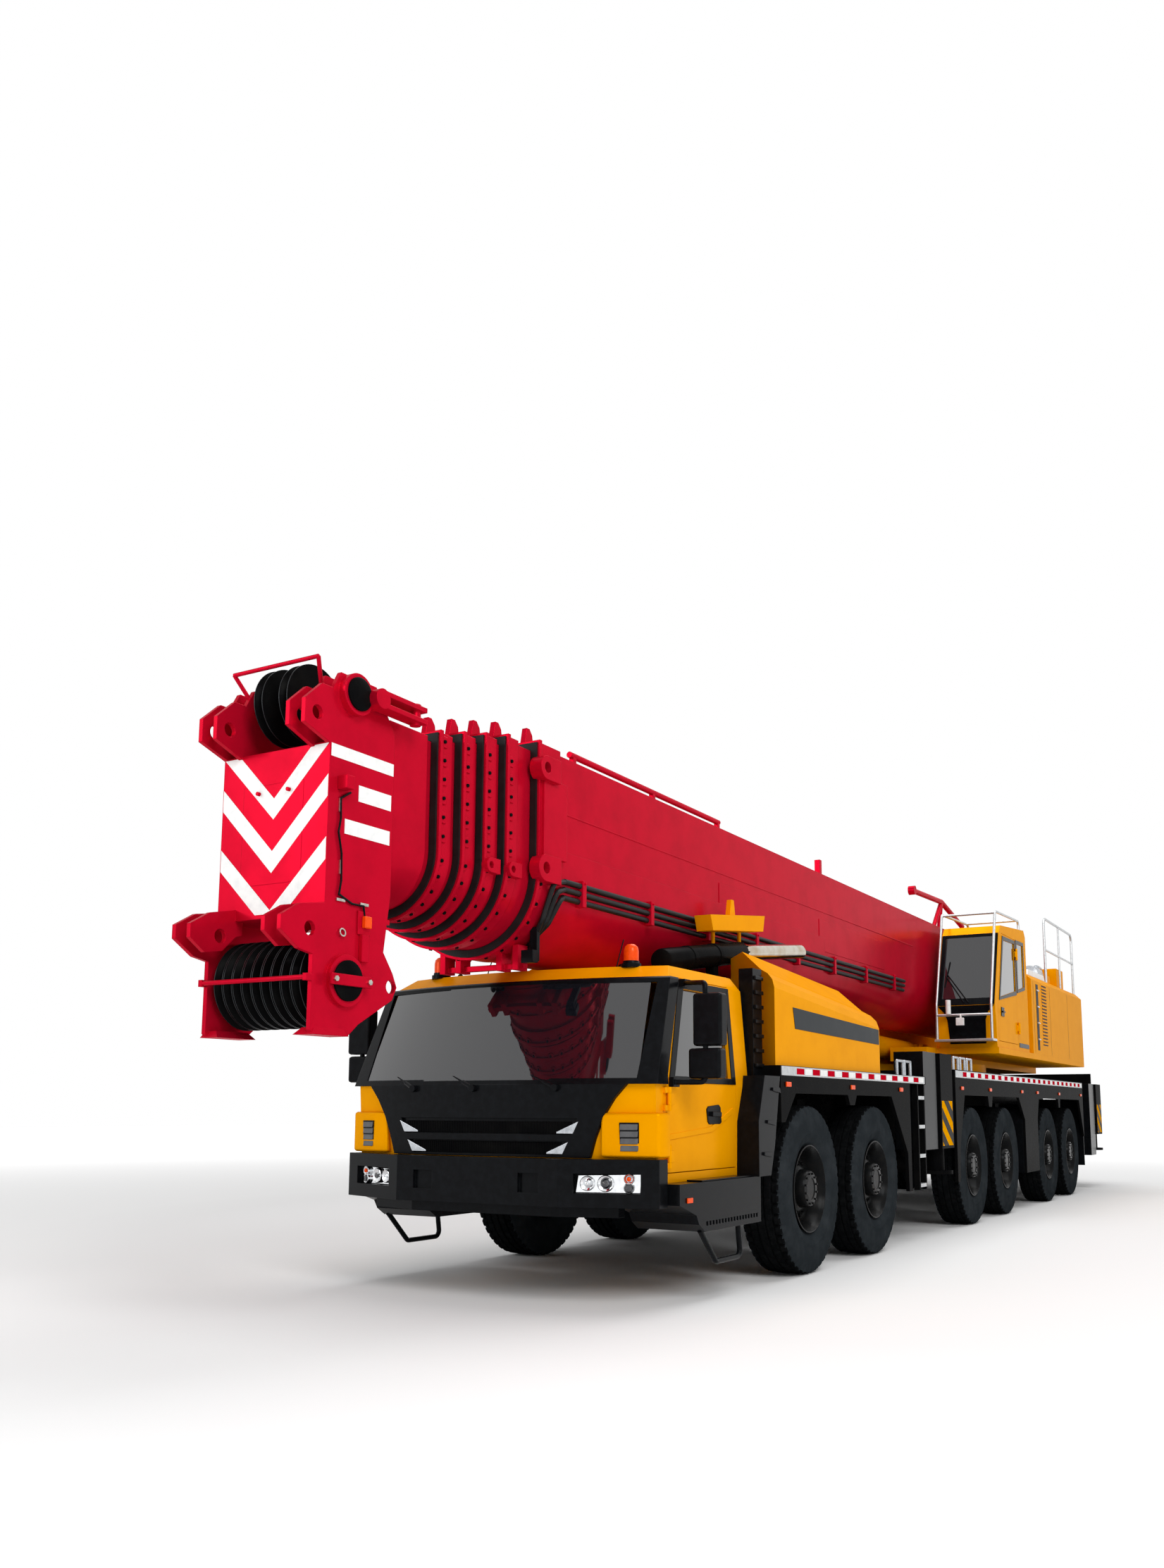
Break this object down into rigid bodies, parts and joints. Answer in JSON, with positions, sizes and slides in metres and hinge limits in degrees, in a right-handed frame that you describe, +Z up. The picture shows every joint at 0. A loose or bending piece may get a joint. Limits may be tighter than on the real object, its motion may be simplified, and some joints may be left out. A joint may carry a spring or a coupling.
{
  "type": "mobile crane",
  "caption": "All-terrain mobile crane with steered axles, slewing upper structure, telescopic boom and sliding outriggers, in road trim.",
  "frame": {"origin": "on the ground under the middle of the whole machine's bounding box", "axes": "+X forward along the boom, +Y to the vehicle's left, +Z up"},
  "size_m": [19.49, 3.33, 4.4329],
  "materials": {
    "yellow_paint": "gloss",
    "red_paint": "gloss",
    "black_paint": "satin",
    "tyre": "matt",
    "black_plastic": "matt",
    "glass": "gloss",
    "aluminium": "brushed",
    "steel": "brushed",
    "grey_paint": "satin",
    "cast_iron": "matt"
  },
  "bodies": {
    "carrier": {"chassis_frame": "black_paint", "axle_beams": "black_paint", "driver_cab": "yellow_paint", "driver_cab_glass": "glass", "cab_interior": "black_plastic", "front_bumper": "black_plastic", "engine_hood": "yellow_paint", "engine_block": "cast_iron", "exhaust": "black_paint", "deck_plates": "black_paint", "side_boxes": "black_paint", "cab_fittings": "black_plastic", "ladders": "aluminium", "hook_block": "yellow_paint"},
    "superstructure": {"turntable": "black_paint", "operator_cab": "yellow_paint", "operator_cab_glass": "glass", "power_pack": "yellow_paint", "superstructure_rails": "steel"},
    "boom_section_6": {"boom_section_6": "red_paint", "head_sheaves": "black_paint"},
    "cab_door_left": {"cab_door_left": "yellow_paint"},
    "cab_door_right": {"cab_door_right": "yellow_paint"},
    "operator_cab_door": {"operator_cab_door": "yellow_paint"},
    "winch_drum": {"winch_drum": "black_paint"},
    "lift_cylinder_barrel": {"lift_cylinder_barrel": "black_paint"},
    "lift_cylinder_rod": {"lift_cylinder_rod": "steel"},
    "boom_base": {"boom_base": "red_paint"},
    "boom_section_2": {"boom_section_2": "red_paint"},
    "boom_section_3": {"boom_section_3": "red_paint"},
    "boom_section_4": {"boom_section_4": "red_paint"},
    "boom_section_5": {"boom_section_5": "red_paint"},
    "wheel_1_left": {"wheel_1_left": "tyre"},
    "knuckle_1_left": {"knuckle_1_left": "black_paint"},
    "wheel_1_right": {"wheel_1_right": "tyre"},
    "knuckle_1_right": {"knuckle_1_right": "black_paint"},
    "wheel_2_left": {"wheel_2_left": "tyre"},
    "knuckle_2_left": {"knuckle_2_left": "black_paint"},
    "wheel_2_right": {"wheel_2_right": "tyre"},
    "knuckle_2_right": {"knuckle_2_right": "black_paint"},
    "wheel_3_left": {"wheel_3_left": "tyre"},
    "wheel_3_right": {"wheel_3_right": "tyre"},
    "wheel_4_left": {"wheel_4_left": "tyre"},
    "wheel_4_right": {"wheel_4_right": "tyre"},
    "wheel_5_left": {"wheel_5_left": "tyre"},
    "knuckle_5_left": {"knuckle_5_left": "black_paint"},
    "wheel_5_right": {"wheel_5_right": "tyre"},
    "knuckle_5_right": {"knuckle_5_right": "black_paint"},
    "wheel_6_left": {"wheel_6_left": "tyre"},
    "knuckle_6_left": {"knuckle_6_left": "black_paint"},
    "wheel_6_right": {"wheel_6_right": "tyre"},
    "knuckle_6_right": {"knuckle_6_right": "black_paint"},
    "outrigger_beam_front_left": {"outrigger_beam_front_left": "grey_paint"},
    "outrigger_jack_front_left": {"outrigger_jack_front_left": "steel"},
    "outrigger_beam_front_right": {"outrigger_beam_front_right": "grey_paint"},
    "outrigger_jack_front_right": {"outrigger_jack_front_right": "steel"},
    "outrigger_beam_rear_left": {"outrigger_beam_rear_left": "grey_paint"},
    "outrigger_jack_rear_left": {"outrigger_jack_rear_left": "steel"},
    "outrigger_beam_rear_right": {"outrigger_beam_rear_right": "grey_paint"},
    "outrigger_jack_rear_right": {"outrigger_jack_rear_right": "steel"}
  },
  "joints": [
    {"name": "steer_1_left", "type": "hinge", "parent": "carrier", "child": "knuckle_1_left", "pos_m": [4.705, 1.13, 0.685], "axis": [0, 0, 1], "range_deg": [-30, 30]},
    {"name": "roll_1_left", "type": "hinge", "parent": "knuckle_1_left", "child": "wheel_1_left", "pos_m": [4.705, 1.2875, 0.685], "axis": [0, 1, 0], "continuous": true},
    {"name": "steer_1_right", "type": "hinge", "parent": "carrier", "child": "knuckle_1_right", "pos_m": [4.705, -1.13, 0.685], "axis": [0, 0, 1], "range_deg": [-30.01, 30.01]},
    {"name": "roll_1_right", "type": "hinge", "parent": "knuckle_1_right", "child": "wheel_1_right", "pos_m": [4.705, -1.2875, 0.685], "axis": [0, 1, 0], "continuous": true},
    {"name": "steer_2_left", "type": "hinge", "parent": "carrier", "child": "knuckle_2_left", "pos_m": [3.025, 1.13, 0.685], "axis": [0, 0, 1], "range_deg": [-24.01, 24.01]},
    {"name": "roll_2_left", "type": "hinge", "parent": "knuckle_2_left", "child": "wheel_2_left", "pos_m": [3.025, 1.2875, 0.685], "axis": [0, 1, 0], "continuous": true},
    {"name": "steer_2_right", "type": "hinge", "parent": "carrier", "child": "knuckle_2_right", "pos_m": [3.025, -1.13, 0.685], "axis": [0, 0, 1], "range_deg": [-24.01, 24.01]},
    {"name": "roll_2_right", "type": "hinge", "parent": "knuckle_2_right", "child": "wheel_2_right", "pos_m": [3.025, -1.2875, 0.685], "axis": [0, 1, 0], "continuous": true},
    {"name": "roll_3_left", "type": "hinge", "parent": "carrier", "child": "wheel_3_left", "pos_m": [-0.575, 1.2875, 0.685], "axis": [0, 1, 0], "continuous": true},
    {"name": "roll_3_right", "type": "hinge", "parent": "carrier", "child": "wheel_3_right", "pos_m": [-0.575, -1.2875, 0.685], "axis": [0, 1, 0], "continuous": true},
    {"name": "roll_4_left", "type": "hinge", "parent": "carrier", "child": "wheel_4_left", "pos_m": [-2.255, 1.2875, 0.685], "axis": [0, 1, 0], "continuous": true},
    {"name": "roll_4_right", "type": "hinge", "parent": "carrier", "child": "wheel_4_right", "pos_m": [-2.255, -1.2875, 0.685], "axis": [0, 1, 0], "continuous": true},
    {"name": "steer_5_left", "type": "hinge", "parent": "carrier", "child": "knuckle_5_left", "pos_m": [-4.935, 1.13, 0.685], "axis": [0, 0, 1], "range_deg": [-15.01, 15.01]},
    {"name": "roll_5_left", "type": "hinge", "parent": "knuckle_5_left", "child": "wheel_5_left", "pos_m": [-4.935, 1.2875, 0.685], "axis": [0, 1, 0], "continuous": true},
    {"name": "steer_5_right", "type": "hinge", "parent": "carrier", "child": "knuckle_5_right", "pos_m": [-4.935, -1.13, 0.685], "axis": [0, 0, 1], "range_deg": [-15.01, 15.01]},
    {"name": "roll_5_right", "type": "hinge", "parent": "knuckle_5_right", "child": "wheel_5_right", "pos_m": [-4.935, -1.2875, 0.685], "axis": [0, 1, 0], "continuous": true},
    {"name": "steer_6_left", "type": "hinge", "parent": "carrier", "child": "knuckle_6_left", "pos_m": [-6.615, 1.13, 0.685], "axis": [0, 0, 1], "range_deg": [-22.51, 22.51]},
    {"name": "roll_6_left", "type": "hinge", "parent": "knuckle_6_left", "child": "wheel_6_left", "pos_m": [-6.615, 1.2875, 0.685], "axis": [0, 1, 0], "continuous": true},
    {"name": "steer_6_right", "type": "hinge", "parent": "carrier", "child": "knuckle_6_right", "pos_m": [-6.615, -1.13, 0.685], "axis": [0, 0, 1], "range_deg": [-22.51, 22.51]},
    {"name": "roll_6_right", "type": "hinge", "parent": "knuckle_6_right", "child": "wheel_6_right", "pos_m": [-6.615, -1.2875, 0.685], "axis": [0, 1, 0], "continuous": true},
    {"name": "cab_door_left_hinge", "type": "hinge", "parent": "carrier", "child": "cab_door_left", "pos_m": [6.948, 1.32, 1.2], "axis": [0, 0, -1], "range_deg": [0, 70]},
    {"name": "cab_door_right_hinge", "type": "hinge", "parent": "carrier", "child": "cab_door_right", "pos_m": [6.948, -1.32, 1.2], "axis": [0, 0, 1], "range_deg": [0, 70]},
    {"name": "extend_front_left", "type": "slide", "parent": "carrier", "child": "outrigger_beam_front_left", "axis": [0, 1, 0], "range_m": [0, 1.7]},
    {"name": "jack_front_left", "type": "slide", "parent": "outrigger_beam_front_left", "child": "outrigger_jack_front_left", "axis": [0, 0, -1], "range_m": [0, 0.7]},
    {"name": "extend_front_right", "type": "slide", "parent": "carrier", "child": "outrigger_beam_front_right", "axis": [0, -1, 0], "range_m": [0, 1.7]},
    {"name": "jack_front_right", "type": "slide", "parent": "outrigger_beam_front_right", "child": "outrigger_jack_front_right", "axis": [0, 0, -1], "range_m": [0, 0.7]},
    {"name": "extend_rear_left", "type": "slide", "parent": "carrier", "child": "outrigger_beam_rear_left", "axis": [0, 1, 0], "range_m": [0, 1.7]},
    {"name": "jack_rear_left", "type": "slide", "parent": "outrigger_beam_rear_left", "child": "outrigger_jack_rear_left", "axis": [0, 0, -1], "range_m": [0, 0.7]},
    {"name": "extend_rear_right", "type": "slide", "parent": "carrier", "child": "outrigger_beam_rear_right", "axis": [0, -1, 0], "range_m": [0, 1.7]},
    {"name": "jack_rear_right", "type": "slide", "parent": "outrigger_beam_rear_right", "child": "outrigger_jack_rear_right", "axis": [0, 0, -1], "range_m": [0, 0.7]},
    {"name": "slew", "type": "hinge", "parent": "carrier", "child": "superstructure", "pos_m": [-3.295, 0, 1.9], "axis": [0, 0, 1], "continuous": true},
    {"name": "boom_luff", "type": "hinge", "parent": "superstructure", "child": "boom_base", "pos_m": [-5.495, 0, 2.95], "axis": [0, -1, 0], "range_deg": [0, 82]},
    {"name": "telescope_2", "type": "slide", "parent": "boom_base", "child": "boom_section_2", "axis": [1, 0, 0], "range_m": [0, 10.5]},
    {"name": "telescope_3", "type": "slide", "parent": "boom_section_2", "child": "boom_section_3", "axis": [1, 0, 0], "range_m": [0, 10.5]},
    {"name": "telescope_4", "type": "slide", "parent": "boom_section_3", "child": "boom_section_4", "axis": [1, 0, 0], "range_m": [0, 10.5]},
    {"name": "telescope_5", "type": "slide", "parent": "boom_section_4", "child": "boom_section_5", "axis": [1, 0, 0], "range_m": [0, 10.5]},
    {"name": "telescope_6", "type": "slide", "parent": "boom_section_5", "child": "boom_section_6", "axis": [1, 0, 0], "range_m": [0, 10.5]},
    {"name": "lift_barrel_pivot", "type": "hinge", "parent": "superstructure", "child": "lift_cylinder_barrel", "pos_m": [-2.895, 0, 2.13], "axis": [0, -1, 0], "range_deg": [0, 96.11]},
    {"name": "lift_rod_slide", "type": "slide", "parent": "lift_cylinder_barrel", "child": "lift_cylinder_rod", "axis": [0.9998, 0, 0.0207], "range_m": [0, 3.3124]},
    {"name": "operator_cab_door_hinge", "type": "hinge", "parent": "superstructure", "child": "operator_cab_door", "pos_m": [-3.198, 1.48, 3], "axis": [0, 0, 1], "range_deg": [0, 90]},
    {"name": "winch_turn", "type": "hinge", "parent": "superstructure", "child": "winch_drum", "pos_m": [-7.245, 0, 2.7], "axis": [0, 1, 0], "continuous": true}
  ],
  "couplings": [
    {"joint": "steer_1_right", "follows": "steer_1_left", "ratio": 1},
    {"joint": "steer_2_left", "follows": "steer_1_left", "ratio": 0.8},
    {"joint": "steer_2_right", "follows": "steer_1_left", "ratio": 0.8},
    {"joint": "steer_5_left", "follows": "steer_1_left", "ratio": -0.5},
    {"joint": "steer_5_right", "follows": "steer_1_left", "ratio": -0.5},
    {"joint": "steer_6_left", "follows": "steer_1_left", "ratio": -0.75},
    {"joint": "steer_6_right", "follows": "steer_1_left", "ratio": -0.75},
    {"joint": "telescope_3", "follows": "telescope_2", "ratio": 1},
    {"joint": "telescope_4", "follows": "telescope_2", "ratio": 1},
    {"joint": "telescope_5", "follows": "telescope_2", "ratio": 1},
    {"joint": "telescope_6", "follows": "telescope_2", "ratio": 1},
    {"joint": "lift_barrel_pivot", "follows": "boom_luff", "ratio": 1.1719},
    {"joint": "lift_rod_slide", "follows": "boom_luff", "m_per_rad": 2.3138}
  ]
}
